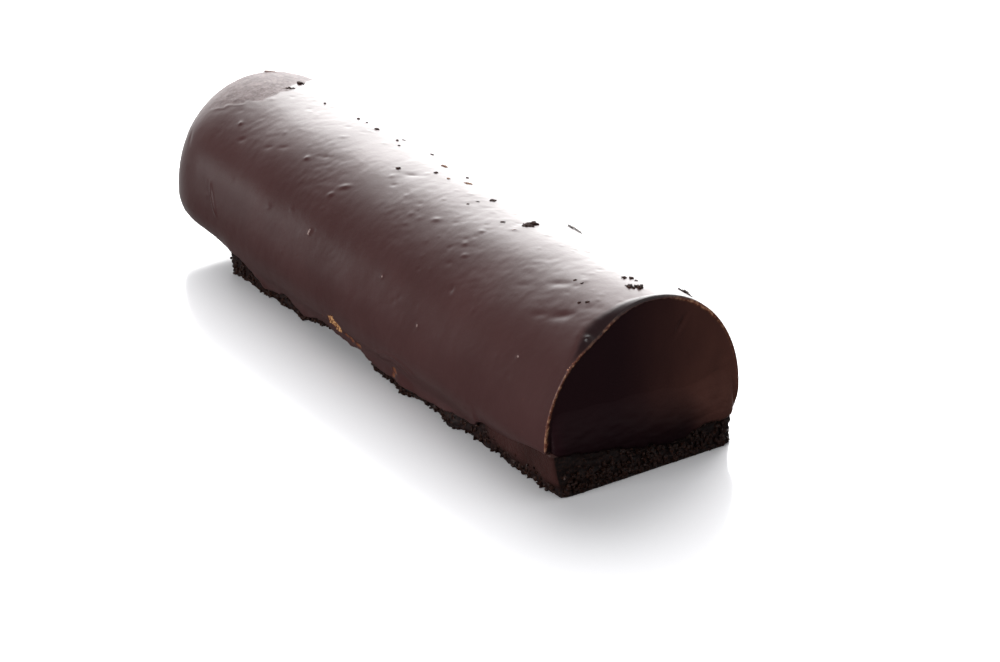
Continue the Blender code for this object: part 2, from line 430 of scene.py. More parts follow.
def crumb_finish(name, dark, light, roughness, gloss=0.5):
    """A finish of small dark and light spots."""
    finish = Finish(name, Roughness=roughness, Specular_IOR_Level=gloss)
    fine = finish.speckle(0.7, 4)
    finish.surface(Base_Color=finish.blend(dark, light, fine.between(0.35, 0.65)))
    finish.relief(fine, 0.15)
    return finish.material


def mesh_piece(name, points, faces, materials, masks=None):
    """An object from points in millimetres, with numbers stored on them."""
    mesh = bpy.data.meshes.new(name)
    mesh.from_pydata((np.asarray(points).reshape(-1, 3) * MM).tolist(), [], faces)
    for mask, values in (masks or {}).items():
        layer = mesh.attributes.new(mask, "FLOAT", "POINT")
        layer.data.foreach_set("value", np.asarray(values, np.float32).ravel())
    mesh.shade_smooth()
    for material in materials:
        mesh.materials.append(material)
    piece = bpy.data.objects.new(name, mesh)
    bpy.context.scene.collection.objects.link(piece)
    return piece


def grid_faces(rows, columns, closed=True, ends=(False, False)):
    """Faces over rows and columns of points, the columns closing on themselves or not."""
    index = np.arange(rows * columns).reshape(rows, columns)
    after = np.roll(index, -1, axis=1) if closed else index[:, 1:]
    here = index if closed else index[:, :-1]
    faces = np.stack([here[:-1], after[:-1], after[1:], here[1:]], axis=-1).reshape(-1, 4).tolist()
    if ends[0]:
        faces.append(index[0, ::-1].tolist())
    if ends[1]:
        faces.append(index[-1].tolist())
    return faces


def normals_of(points):
    """Unit normals of a grid of points whose columns go round."""
    along = np.gradient(points, axis=0)
    wrapped = np.concatenate([points[:, -1:], points, points[:, :1]], axis=1)
    around = np.gradient(wrapped, axis=1)[:, 1:-1]
    normal = np.cross(along, around)
    return normal / np.maximum(np.linalg.norm(normal, axis=-1, keepdims=True), 1e-9)


# Marks in the glaze: x, angle, half length, half width, height; they lean up towards the front
MARK_LEAN = math.radians(28.6)
DENTS = [(98.5, 70.5, 4.2, 1.4, -0.30), (110.5, 57.0, 4.4, 1.7, -0.40), (52, 62, 3.5, 1.5, -0.08),
         (-35, 66, 5, 2, -0.08), (20, 48, 4, 1.6, -0.06), (-2.5, 80, 3.4, 0.9, -0.24),
         (102, 52, 3, 1.2, -0.14), (118, 68, 3, 1.3, -0.10), (86, 60, 3, 1.1, -0.10),
         (-120, 33, 0.9, 2.4, -0.25)]
BUBBLES = [(-50, 56.5, 1.1, 0.8, 0.36), (-25, 47.5, 1.4, 0.8, 0.32), (-21.5, 54.5, 2.4, 0.9, 0.36),
           (28.5, 65, 1.9, 0.9, 0.26), (50, 72.5, 1.3, 0.8, 0.20), (53.5, 57, 1.4, 0.8, 0.22),
           (49.5, 62, 1.2, 0.7, 0.22), (-95.5, 53.5, 0.9, 0.8, 0.36), (-26, 26, 1.0, 0.9, 0.30),
           (22.5, 27.5, 0.8, 0.7, 0.20), (49, 16.5, 0.7, 0.7, 0.20), (104, 30.5, 0.8, 0.7, 0.22),
           (58.5, 83.5, 1.5, 0.7, 0.16), (126.2, 55.0, 1.3, 1.0, 0.60)]
PITS = [(-88.5, 46.5, 1.9, 1.0, -0.26), (-72, 50.5, 1.9, 0.7, -0.14), (-65, 54.5, 2.2, 0.7, -0.14),
        (-42, 62.5, 1.7, 0.7, -0.14), (58.5, 40, 0.9, 1.2, -0.40), (38, 40, 0.8, 0.8, -0.16)]
SMALL_MARKS = 190
# The thin dull patch at the back of the top ends here, as (angle, x)
PATCH_EDGE = [(38, -131), (50, -118), (57, -111), (63, -105), (71, -98.5), (80, -97), (99, -102.5),
              (118, -110), (135, -122)]
# Folds where the glaze ran and set low on the left, as (x, z) points along each
FOLDS = [[(47.0, 12.6), (41.1, 14.1), (34.7, 14.6), (28, 13.4), (21.4, 11.1)],
         [(44.0, 10.6), (38, 12.2), (31, 12.4), (25, 11.0)]]
FOLD_HALF_WIDTH = 0.75
FOLD_OUT = 0.34
# The drip near the back of the left side: a place on it, its lean, half width and how far it stands out
DRIP_X, DRIP_Z = -95.8, 34
DRIP_LEAN = 0.62
DRIP_HALF_WIDTH = 0.95
DRIP_OUT = 0.75
# Holes torn low in the left glaze that show the biscuit: x, z, half length, half height
TORN_HOLES = [(-7.6, 11.8, 2.7, 2.4), (-4.6, 10.5, 2.7, 2.3), (1.0, 9.3, 1.3, 1.0), (4.4, 8.8, 1.6, 1.3),
              (8.2, 8.2, 1.8, 1.3), (32.0, 7.8, 1.2, 1.5), (30.8, 5.4, 1.0, 1.3)]
PALE_HOLES = 2


def small_marks():
    """Little bumps and pits left by air in the glaze, thickest up the shoulders."""
    draw = random.Random(12)
    marks = []
    for _ in range(SMALL_MARKS):
        x = draw.uniform(LOG_BACK + 20, LOG_FRONT - 4)
        angle = 90 + draw.choice((-1, 1)) * abs(draw.gauss(18, 24))
        size = draw.uniform(0.5, 0.95)
        height = draw.choice((0.16, 0.10, -0.14)) * size
        marks.append((x, angle, size * draw.uniform(1, 1.8), size, height))
    return marks


def glaze_relief(x, angle, place):
    """How far the glaze stands out of the plain form, in millimetres, and its thin patch."""
    up = angle * HALF_WIDTH
    degrees = np.degrees(angle)
    strong = 0.55 + 0.75 * grain(stack(x / 24, up / 13, 9))
    slant = x - 0.33 * up + 2.2 * grain(stack(x / 11, up / 8, 2))
    shoulder = bell(degrees, 66, 30)
    relief = 0.20 * grain(stack(x / 19, up / 24, 3))
    relief += 0.045 * grain(stack(slant / 4.6, up / 8.5, 0))
    relief += (0.034 + 0.055 * shoulder) * strong * grain(stack(slant / 2.4, up / 2.8, 11))
    for mx, mark_angle, half_x, half_up, height in DENTS + BUBBLES + PITS + small_marks():
        ahead, above = x - mx, up - math.radians(mark_angle) * HALF_WIDTH
        along = ahead * math.cos(MARK_LEAN) + above * math.sin(MARK_LEAN)
        across = above * math.cos(MARK_LEAN) - ahead * math.sin(MARK_LEAN)
        relief += height * np.exp(-(along / half_x) ** 2 - (across / half_up) ** 2)
    edge = profile(PATCH_EDGE, degrees) + 2.2 * grain(stack(up / 4.5, 0, 5), 3)
    uneven = grain(place / 6.5, 3)
    patch = fade(0.9, -0.9, x - edge) * fade(34, 46, degrees) * fade(142, 124, degrees + 12 * uneven)
    patch = patch * fade(44, 52, place[..., 2] + 5 * uneven)
    lip = bell(x, edge + 0.5, 0.7) * fade(50, 54, degrees) * fade(66, 61, degrees)
    relief += patch * (0.06 * grain(place / 2.2, 3) - 0.03) + 0.13 * lip
    return relief, patch * (0.30 + 0.70 * fade(48, 80, degrees))


def fold_relief(x, z, left):
    """Ridges of run glaze low on the left side, and the drip."""
    raised = np.zeros(x.shape)
    for fold in FOLDS:
        line = np.array(sorted(fold))
        crest = np.interp(x, line[:, 0], line[:, 1])
        inside = fade(line[0, 0] - 2, line[0, 0] + 2, x) * fade(line[-1, 0] + 2, line[-1, 0] - 2, x)
        raised += FOLD_OUT * inside * bell(z, crest, FOLD_HALF_WIDTH)
    drip = DRIP_X + DRIP_LEAN * (DRIP_Z - z)
    raised += DRIP_OUT * fade(22, 27, z) * fade(37, 31, z) * bell(x, drip, DRIP_HALF_WIDTH)
    return raised * left


def biscuit_holes(x, z, left):
    """Where the left glaze is torn and the biscuit shows, from 0 to 1, palest in the first holes."""
    share = np.zeros(x.shape)
    pale = np.zeros(x.shape)
    for i, (hole_x, hole_z, half_x, half_z) in enumerate(TORN_HOLES):
        spot = bell(x, hole_x, half_x) * bell(z, hole_z, half_z)
        share = np.maximum(share, spot)
        pale = np.maximum(pale, spot * (i < PALE_HOLES))
    uneven = 0.42 * grain(stack(x / 1.5, z / 1.1, 4), 3)
    return fade(0.36, 0.62, share + uneven) * (0.72 + 0.28 * fade(0.3, 0.7, pale + uneven)) * left


def end_reach(share):
    """How far from the back end a ring of that share of the section lies."""
    return END_DEPTH * (1 - np.sqrt(1 - share ** END_POWER))


def rim_drop(x, angle):
    """The glaze rounds down to the front rim, widest on the left shoulder."""
    degrees = np.degrees(angle)
    to_front = LOG_FRONT - x
    shoulder = bell(degrees, 58, 15)
    beside = bell(degrees, 77, 12)
    top = bell(degrees, 88, 22)
    near = np.clip(1 - to_front / (1.7 + 4.8 * shoulder + 0.9 * beside), 0, 1)
    wide = np.clip(1 - to_front / 16, 0, 1)
    corner = 0.16 + bell(degrees, 104, 38)
    round_off = corner * (1 - np.sqrt(1 - np.clip(1 - to_front / corner, 0, 0.97) ** 2))
    return -(2.4 * shoulder + 0.4 * beside) * near ** 1.8 - 0.3 * top * wide ** 2 - round_off


def rounded_edge(x, degrees):
    """Where painted shade darkens the glaze over the rounded front edge, from 0 to 1."""
    width = 1.4 + 4.6 * bell(degrees, 60, 12) + 2.1 * bell(degrees, 79, 14)
    width = width + 0.4 * grain(stack(degrees / 5, 0, 2))
    return fade(width, 0.5 * width, LOG_FRONT - x) * fade(38, 50, degrees) * fade(150, 136, degrees)


def glaze_edge(x, side):
    """Height of the glaze's lower edge at a side, with its drips."""
    ragged = 0.55 * grain(stack(x / 3.1, 2.0 * side, 0), 2) + 0.35 * grain(stack(x / 1.2, side, 4))
    bottom = seam_height(x, side * HALF_WIDTH) + GAP / 2
    over_base = fade(BASE_BACK - 1, BASE_BACK + 5, x) * (1 - clean_seam(x, side))
    edge = profile(EDGE_LEFT if side < 0 else EDGE_RIGHT, x) + ragged
    return bottom + (np.minimum(edge, bottom) - bottom) * over_base


def skin_half_width(x, z, side):
    """Half width of the glaze below its widest line: the log's wall, then the base's side."""
    seam = seam_height(x, side * HALF_WIDTH)
    wall = wall_half_width(z, side)
    over = base_half_width(x, np.minimum(z, seam), side, bitten=False) + GLAZE_THICK
    plain = np.maximum(clean_seam(x, side), fade(BASE_BACK + 8, BASE_BACK - 6, x))
    over = over - 4 * fade(0, 8, z - seam) - 8 * plain
    draped = larger(wall, over, 3.0 - 2.4 * plain)
    return wall + (draped - wall) * fade(WIDEST, WIDEST - 8, z)


def log_section(x):
    """Rings at the given x: left wall, arch, right wall, and the underside between two lips."""
    x = x[:, None]
    t = np.linspace(0, 1, WALL_COLUMNS, endpoint=False)[None, :] ** 1.15
    overhang = 2.6 * fade(BASE_BACK + 3, BASE_BACK - 9, x)
    walls, lips = {}, {}
    for side in (-1, 1):
        low = glaze_edge(x, side)
        z = low + (WIDEST - low) * t
        curl = np.clip(1 - (z - low) / np.maximum(overhang, 0.55), 0, 1)
        inset = np.maximum(overhang, 0.55) * (1 - np.sqrt(1 - curl ** 2)) * 0.9
        y = skin_half_width(x, z, side) - inset
        walls[side] = stack(x, side * y, z)
        seam = seam_height(x, side * HALF_WIDTH) + GAP / 2
        inner = np.minimum(y[:, :1] - 0.5, wall_half_width(seam, side) - 0.9)
        lips[side] = np.concatenate([stack(x, side * inner, low + 0.02),
                                     stack(x, side * (inner - 0.25), seam)], axis=1)
    angle = np.linspace(0, np.pi, ARCH_COLUMNS)[None, :]
    left, right = lips[-1][:, 1], lips[1][:, 1]
    across = np.linspace(0, 1, UNDER_COLUMNS + 2)[None, 1:-1]
    y = right[:, 1:2] + (left[:, 1:2] - right[:, 1:2]) * across
    under = stack(x, y, seam_height(x, y) + GAP / 2)
    return np.concatenate([walls[-1], arch(x, angle), walls[1][:, ::-1], lips[1], under, lips[-1][:, ::-1]],
                          axis=1)


def section_angles():
    """The angle round the section of each column, below 0 and above pi on the walls."""
    low = (WIDEST - 6) / HALF_WIDTH
    t = np.linspace(1, 0, WALL_COLUMNS, endpoint=False)
    under = np.full(UNDER_COLUMNS + 4, 1.5 * np.pi)
    return np.concatenate([-low * t, np.linspace(0, np.pi, ARCH_COLUMNS), np.pi + low * t[::-1], under])


def log_rings():
    """The log's rings from its back end to its front edge, and their shares of the full section."""
    crowded = 1 - np.linspace(1, 0, OUTER_RINGS, endpoint=False) ** 2.2
    shares = np.concatenate([np.linspace(0.02, INNER_SHARE, INNER_RINGS, endpoint=False),
                             INNER_SHARE + (1 - INNER_SHARE) * crowded])
    first = LOG_BACK + END_DEPTH
    straight = np.arange(first, LOG_FRONT - 3, SKIN_STEP)
    straight = np.concatenate([straight, np.linspace(LOG_FRONT - 2.7, LOG_FRONT - 0.1, LAST_RINGS)])
    skin = log_section(np.concatenate([np.full(len(shares), first), straight]))
    share = np.concatenate([shares, np.ones(len(straight))])[:, None]
    skin[..., 1] *= share
    skin[..., 2] = END_CENTRE + (skin[..., 2] - END_CENTRE) * share
    skin[:len(shares), :, 0] = LOG_BACK + end_reach(share[:len(shares)])
    return skin, share


def glazed_log():
    """The log's skin and its front face in one closed mesh."""
    skin, share = log_rings()
    angles = section_angles()
    columns = len(angles)
    showing = np.arange(columns) < ARCH_COLUMNS + 2 * WALL_COLUMNS
    left = (np.arange(columns) < LEFT_COLUMNS).astype(float)
    x, z = skin[..., 0], skin[..., 2]
    relief, patch = glaze_relief(x, np.broadcast_to(angles, x.shape), skin)
    relief += rim_drop(x, angles) + fold_relief(x, z, left)
    holes = biscuit_holes(x, z, left)
    relief += holes * (0.35 * grain(skin / 1.1, 2) - 0.45)
    relief *= showing * share ** 2
    skin = skin + normals_of(skin) * relief[..., None]
    skin[..., 0] = np.maximum(skin[..., 0], LOG_BACK)

    rim_rings = front_rim(skin[-1], angles, showing)
    face = front_face(rim_rings[-1])
    points = np.concatenate([skin, rim_rings, face])
    torn = np.zeros(points.shape[:2])
    torn[len(skin) - 2] = 0.4
    torn[len(skin) - 1:len(skin) + len(rim_rings)] = 1.0
    torn[len(skin) + len(rim_rings)] = 0.3
    torn *= rim_strength(np.degrees(angles)) * showing
    # Painted shade along the rounded front edge, stored on the points
    edge_shade = rounded_edge(x, np.degrees(angles)) * showing
    masks = {"torn": torn}
    for name, values in (("thin_patch", patch * showing), ("biscuit", holes), ("edge_shade", edge_shade)):
        masks[name] = np.zeros(points.shape[:2])
        masks[name][:len(skin)] = values
    faces = grid_faces(len(points), columns, ends=(True, True))
    piece = mesh_piece("log_glazed", points, faces, [glaze_finish(), face_finish()], masks)
    # The front's own finish starts two rings into the rim; the last two faces close back and front
    on_face = np.zeros(len(faces), np.int32)
    on_face[(len(skin) + 2) * columns:-2] = 1
    on_face[-1] = 1
    piece.data.polygons.foreach_set("material_index", on_face)
    return piece


def front_rim(edge, angles, showing):
    """Rings from the glaze's front edge over a ragged rim to the face."""
    width = 0.50 + 0.20 * bell(np.degrees(angles), 8, 26)
    width = width * (1 + 0.70 * grain(stack(angles * HALF_WIDTH / 1.7, 0, 0), 2))
    inward = stack(0 * angles, -edge[:, 1], END_CENTRE - edge[:, 2])
    inward /= np.linalg.norm(inward, axis=-1, keepdims=True)
    gap = LOG_FRONT - edge[:, 0]
    rings = []
    for deep, out, uneven in ((0.25, 0.40, 0.5), (0.50, 0.72, 1.0), (0.80, 0.90, 1.0), (1.0, 0.80, 0.7)):
        ring = edge + inward * (width * deep)[:, None]
        ring[:, 0] = edge[:, 0] + gap * out
        rough = 0.16 * uneven * grain(ring / 0.75) * rim_strength(np.degrees(angles))
        ring = ring + np.where(showing, rough, 0)[:, None]
        ring[:, 0] = np.minimum(ring[:, 0], LOG_FRONT)
        rings.append(ring)
    return np.array(rings)


def rim_strength(degrees):
    """How much torn edge shows along the front rim: most on the left, little over the top."""
    left = 0.8 * bell(degrees, -4, 46) * fade(-15, -3, degrees)
    patches = bell(degrees, 44, 6) + 0.9 * bell(degrees, 66, 4)
    right = 0.95 * bell(degrees, 128, 20)
    return np.clip(0.10 + left + 0.5 * patches + right, 0, 1) * (1 - 0.9 * hump(degrees, 90, 24))


def front_face(rim_ring):
    """Rings that close the flat front, with its dents and smears."""
    rings = []
    for share in np.linspace(0.988, 0.03, FACE_RINGS):
        ring = rim_ring * share
        ring[:, 2] = END_CENTRE + (rim_ring[:, 2] - END_CENTRE) * share
        rings.append(ring)
    face = np.array(rings)
    face[..., 0] = LOG_FRONT - 0.15 - face_depth(face[..., 1], face[..., 2])
    return face


def face_depth(y, z):
    """Depth in millimetres of the flat front's dents and smears."""
    depth = 0.10 + 0.10 * grain(stack(y / 13, z / 17, 0), 2)
    slanted = (y - 14.8) * 0.84 - (z - 50.1) * 0.54
    along = (y - 14.8) * 0.54 + (z - 50.1) * 0.84
    depth = depth + 0.60 * bell(slanted, 0, 1.1) * bell(along, 0, 3.4)
    marks = [(29.7, 22, 1.6, 1.4, 0.35), (22.2, 19.5, 1.3, 1.2, 0.3), (11.4, 17.7, 1.3, 1.3, 0.3),
             (33, 33, 2.5, 2, 0.2), (-8, 40, 4, 6, 0.10), (31, 27, 4, 2.5, 0.25)]
    for mark_y, mark_z, half_y, half_z, deep in marks:
        depth = depth + deep * bell(y, mark_y, half_y) * bell(z, mark_z, half_z)
    low_right = fade(26, 14, z) * fade(0, 22, y)
    return depth + low_right * 0.35 * grain(stack(y / 4.5, z / 2.6, 2), 3)


def front_run():
    """The face's glaze where it ran down over the base's front, with a ragged lower edge."""
    y = np.linspace(-37.4, 37.6, RUN_COLUMNS)[:, None]
    seam = seam_height(LOG_FRONT, y)
    start = seam + 17.0 + 2.0 * grain(stack(y / 12, 0, 6))
    end = profile(EDGE_FRONT, y) + 0.9 * grain(stack(y / 3.4, 0, 0), 3)
    end = np.minimum(end, seam - 0.8)
    t = np.linspace(0, 1, RUN_ROWS)[None, :]
    z = start + (end - start) * t
    out = fade(0, 19.0, start - z)
    corner = np.sqrt(1 - np.clip((np.abs(y - 0.1) - 32.5) / 5.0, 0, 1) ** 2)
    x = LOG_FRONT - 0.55 + (BASE_FRONT - LOG_FRONT + 0.45) * corner * out
    x = x + 0.25 * out * grain(stack(y / 7, z / 2.6, 1), 2) - 0.6 * fade(0.95, 1.0, t)
    outer = stack(np.minimum(x, BASE_FRONT), y, z)
    inner = stack(x[:, ::-1] - 1.0, y, z[:, ::-1] + 0.25)
    points = np.concatenate([outer, inner], axis=1)
    faces = grid_faces(len(points), points.shape[1], ends=(True, True))
    return mesh_piece("front_glaze_run", points, faces, [face_finish()])


def coated_base():
    """The base: coated biscuit with a crumbly low side, broken out on the left."""
    x = np.arange(BASE_BACK + 0.4, BASE_FRONT - 1.3, BASE_STEP)[:, None]
    ends = np.minimum(fade(0, 2.0, x - BASE_BACK), fade(0, 2.2, BASE_FRONT - 0.7 - x))
    t = np.linspace(0, 1, SIDE_COLUMNS)[None, :]
    sides = {}
    for side in (-1, 1):
        seam = seam_height(x, side * HALF_WIDTH) - GAP / 2
        z = seam * t
        y = base_half_width(x, z, side) + 0.5 * np.sin(np.pi * t) - 1.6 * (1 - ends)
        sides[side] = stack(x, side * y, z - 1.2 * (1 - ends) * t)
    left, right = sides[-1], sides[1][:, ::-1]
    across = np.linspace(0, 1, UNDER_COLUMNS)[None, 1:-1]
    top_y = left[:, -1:, 1] + (right[:, :1, 1] - left[:, -1:, 1]) * across
    top = stack(x, top_y, seam_height(x, top_y) - GAP / 2 - 1.2 * (1 - ends))
    low = stack(x, right[:, -1:, 1] + (left[:, :1, 1] - right[:, -1:, 1]) * across, 0.0)
    points = np.concatenate([left, top, right, low], axis=1)
    y, z = points[..., 1], points[..., 2]
    covered = np.where(y < 0, glaze_edge(x, -1), glaze_edge(x, 1))
    smooth = clean_seam(x, -1) * (y < 0)
    bare = fade(0.6, -0.8, z - covered) * (1 - smooth) + smooth * fade(7.5, 1.5, z)
    hidden = (1 - bare) * (1 - smooth)
    lumpy = 0.50 * grain(points / 5.0, 2) + 0.42 * grain(points / 1.7, 3)
    relief = (0.35 + 0.9 * bare) * lumpy - 0.7 * bare - 0.9 * hidden
    relief[:, -across.size:] = 0
    points = points + normals_of(points) * relief[..., None]
    points[..., 2] = np.clip(points[..., 2], 0.0, None)
    points[..., 0] = np.clip(points[..., 0], BASE_BACK, BASE_FRONT - FRONT_CLEAR)
    caps = [base_cap(points[0], -1), base_cap(points[-1], 1)]
    points = np.concatenate([caps[0][::-1], points, caps[1]])
    mask = np.ones(points.shape[:2])
    mask[len(caps[0]):len(points) - len(caps[1])] = bare
    faces = grid_faces(len(points), points.shape[1], ends=(True, True))
    return mesh_piece("base_coated", points, faces, [coating_finish()], {"bare": mask})


def base_cap(ring, side):
    """Rings that close an end of the base with a crumbly face."""
    made = []
    middle = np.array([ring[:, 0].mean(), 0.0, ring[:, 2].mean()])
    for share in np.linspace(0.99, 0.02, CAP_RINGS):
        inner = middle + (ring - middle) * share
        rough = (0.9 * grain(inner / 3.4, 3) - 0.3) * (1 - share ** 6)
        inner[:, 0] = inner[:, 0] + side * rough
        inner[:, 0] = np.clip(inner[:, 0], BASE_BACK, BASE_FRONT - FRONT_CLEAR)
        made.append(inner)
    return np.array(made)


def lump_shape(levels):
    """Points and faces of a ball of triangles, half a unit in radius."""
    bm = bmesh.new()
    bmesh.ops.create_icosphere(bm, subdivisions=levels, radius=0.5)
    points = np.array([v.co for v in bm.verts])
    faces = [[v.index for v in f.verts] for f in bm.faces]
    bm.free()
    return points, faces


def lumps(name, places, material, levels=3, jagged=False):
    """Uneven lumps joined in one mesh; each place is a matrix of its frame and its size."""
    ball, faces = lump_shape(levels)
    points, polygons = [], []
    for i, place in enumerate(places):
        uneven = 1 + 0.50 * grain(ball * 2.4 + i * 3.1) + 0.30 * np.abs(grain(ball * 5.2 + i))
        if jagged:
            uneven = uneven + 0.45 * grain(ball * 7.5 + i * 1.7, 2)
        shaped = np.c_[ball * uneven[:, None], np.ones(len(ball))] @ np.array(place).T
        shaped[:, 2] = np.maximum(shaped[:, 2], 0)
        polygons += [[v + i * len(ball) for v in face] for face in faces]
        points.append(shaped[:, :3])
    piece = mesh_piece(name, np.concatenate(points), polygons, [material])
    if jagged:
        piece.data.shade_flat()
    return piece


# Crumbs on the glaze: x, angle, length, width, height, turn, number of grains
DARK_CRUMBS = [(58.2, 92, 3.6, 2.2, 1.4, 56, 24), (58.2, 95.5, 3.0, 2.0, 2.0, 56, 24),
               (118.0, 90.6, 2.4, 1.7, 1.6, 56, 14), (119.9, 94.2, 2.7, 2.5, 2.1, 56, 20),
               (119.6, 91.4, 0.9, 0.7, 0.5, 56, 1), (111.3, 94.6, 2.2, 1.5, 1.3, 56, 12),
               (112.4, 97.6, 2.0, 1.4, 1.3, 56, 10), (115.0, 98, 1.4, 1.0, 0.8, 56, 4),
               (-102.5, 99, 3.0, 2.2, 1.6, 48, 20), (-98.6, 89.8, 2.6, 1.3, 0.9, 48, 14),
               (-99.4, 88.4, 2.4, 0.8, 0.5, 48, 8), (-78.5, 94, 1.0, 0.5, 0.3, 20, 1),
               (-58, 97, 1.1, 0.5, 0.4, 48, 1), (-53, 98, 0.9, 0.4, 0.3, 48, 1),
               (-45.5, 97.5, 1.6, 0.8, 0.5, 48, 1), (-32.5, 98.5, 1.1, 0.5, 0.4, 48, 1),
               (-27.5, 95, 1.0, 0.5, 0.3, 48, 1), (-10.5, 79, 1.6, 0.8, 0.6, 48, 1),
               (33.5, 95, 2.6, 1.6, 1.1, 48, 14), (32, 87.5, 1.2, 0.4, 0.2, 48, 1),
               (31, 82.5, 1.0, 0.4, 0.2, 48, 1), (2, 90.5, 1.5, 0.6, 0.4, 48, 1),
               (51, 84, 2.0, 0.5, 0.3, 48, 1), (101.5, 76, 1.1, 0.5, 0.3, 48, 1),
               (105, 76.5, 1.0, 0.4, 0.3, 48, 1), (112, 67, 1.2, 0.5, 0.3, 48, 1),
               (114.5, 69.5, 1.4, 0.6, 0.4, 48, 1)]
GREY_FLAKES = [(58.0, 122.5, 8.0, 1.7, 0.8, -4, 1), (118.3, 125.8, 5.0, 3.0, 2.0, 5, 24),
               (-32.6, 102.4, 1.2, 0.5, 0.3, 48, 1), (-16.3, 105.5, 1.4, 0.5, 0.3, 48, 1),
               (10, 102.2, 1.1, 0.5, 0.3, 48, 1)]
TAN_CRUMBS = [(-3.0, 100, 2.8, 1.3, 1.0, 48, 12), (16.0, 97, 2.8, 1.2, 1.0, 48, 12),
              (9, 91.5, 1.0, 0.5, 0.3, 48, 1)]
PALE_SPECKS = [(-26, 26, 1.1, 1.7, 0.5, 0, 1), (22.5, 27.5, 0.7, 0.8, 0.3, 0, 1),
               (49, 16.5, 0.7, 0.7, 0.3, 0, 1), (104, 30.5, 0.7, 0.8, 0.3, 0, 1),
               (58.5, 83.5, 1.6, 0.5, 0.3, 48, 1), (-121.5, 96, 6.0, 0.9, 0.6, 54, 1)]
CRUMB_SUNK = 0.3
CRUMB_SPREAD = 0.28
FOOT_FRONT_CRUMBS = 300
FOOT_SIDE_CRUMBS = 420


def stand_on(across, out):
    """The turn that lays a lump's length along the cake and points its height outward."""
    return Matrix((Vector((1, 0, 0)), across, out)).transposed().to_4x4()


def lump_place(here, size):
    """The frame of an upright lump of that size."""
    return Matrix.Translation(here) @ Matrix.Diagonal((*size, 1))


def crumb_places(crumbs, seed):
    """Frames of the crumbs, those of several grains spread over the crumb's own outline."""
    draw = random.Random(seed)
    places = []
    for x, degrees, length, width, height, turn, grains in crumbs:
        for _ in range(grains):
            spread = 0.0 if grains == 1 else CRUMB_SPREAD
            dx, dy = (max(-0.5, min(0.5, draw.gauss(0, 1) * spread)) for _ in range(2))
            part = 1.0 if grains == 1 else draw.uniform(0.18, 0.48) * (1 - abs(dx))
            here, across, out = arch_frame(x, degrees)
            lay = Matrix.Rotation(math.radians(turn), 4, "Z")
            size = Matrix.Diagonal((length * part, width * part * 1.3, height * part * 1.4, 1))
            spin = Matrix.Rotation(draw.uniform(-0.9, 0.9) * (grains > 1), 4, (1, 1, 1))
            shift = Matrix.Translation((dx * length, dy * width, height * part * (0.5 - CRUMB_SUNK)))
            places.append(Matrix.Translation(here) @ stand_on(across, out) @ lay @ shift @ spin @ size)
    return places


def rim_bits():
    """Torn bits of glaze caught along the front rim, thickest at its two torn places."""
    draw = random.Random(5)
    degrees = [draw.gauss(48, 4) for _ in range(12)] + [draw.gauss(66, 3) for _ in range(8)]
    degrees += [draw.uniform(1, 60) for _ in range(20)] + [draw.uniform(112, 150) for _ in range(12)]
    places = []
    for angle in degrees:
        here, across, out = arch_frame(LOG_FRONT - 0.5, angle)
        size = [draw.uniform(0.3, 0.7), draw.uniform(0.4, 1.1), draw.uniform(0.2, 0.5)]
        here = here - out * (0.2 - float(rim_drop(LOG_FRONT - 0.15, math.radians(angle))))
        places.append(Matrix.Translation(here) @ stand_on(across, out) @ Matrix.Diagonal((*size, 1)))
    return places


def hole_crumbs():
    """Biscuit crumbs in the torn holes low on the left."""
    draw = random.Random(21)
    places = []
    for hole_x, hole_z, half_x, half_z in TORN_HOLES[:PALE_HOLES]:
        for _ in range(int(3 * half_x * half_z)):
            x = hole_x + draw.uniform(-0.8, 0.8) * half_x
            z = hole_z + draw.uniform(-0.7, 0.7) * half_z
            y = float(skin_half_width(np.array([x]), np.array([z]), -1)[0]) - 0.45
            size = [draw.uniform(0.5, 1.1) for _ in range(3)]
            places.append(lump_place((x, -y, z), size))
    return places


def foot_places():
    """Moist dark crumbs low on the front of the base, along its sides and in the broken-out stretch."""
    draw = random.Random(9)
    places = []
    for _ in range(FOOT_FRONT_CRUMBS):
        size = [draw.uniform(0.6, 2.2) for _ in range(3)]
        y = draw.uniform(-33, 35)
        z = min(abs(draw.gauss(0, 4.5)) + size[2] / 2, float(profile(EDGE_FRONT, y)))
        places.append(lump_place((BASE_FRONT - 1.0 - size[0] / 2, y, z), size))
    for _ in range(FOOT_SIDE_CRUMBS):
        size = [draw.uniform(0.6, 2.1) for _ in range(3)]
        side = draw.choice((-1, -1, 1))
        x = draw.uniform(BASE_BACK + 2, BASE_FRONT - 5)
        reach = float(glaze_edge(np.array([x]), side)[0])
        z = draw.uniform(0, 1) ** 1.5 * min(reach, 7) + size[2] * 0.45
        y = float(base_half_width(np.array([x]), np.array([z]), side)[0]) - 0.2
        places.append(lump_place((x, side * y, z), size))
    return places


def pale_floor():
    """A plain white floor with a soft gloss, kept from throwing its glare back onto the cake."""
    bpy.ops.mesh.primitive_plane_add(size=14)
    floor = bpy.context.object
    floor.name = "floor"
    finish = Finish("white_floor", Roughness=0.12)
    seen = finish.node("ShaderNodeLightPath", output="Is Camera Ray")
    finish.surface(Base_Color=finish.blend(FLOOR_LIGHTING, FLOOR_SEEN, seen))
    floor.data.materials.append(finish.material)


GLOW_FROM = (-0.50, 0.80, 0.33)
GLOW_POWER = 11.0
FRONT_FROM = (0.72, 0.62, 0.30)
FRONT_POWER = 0.85
GLOW_LEAST = 0.08
BACKGROUND_SEEN = 1.05
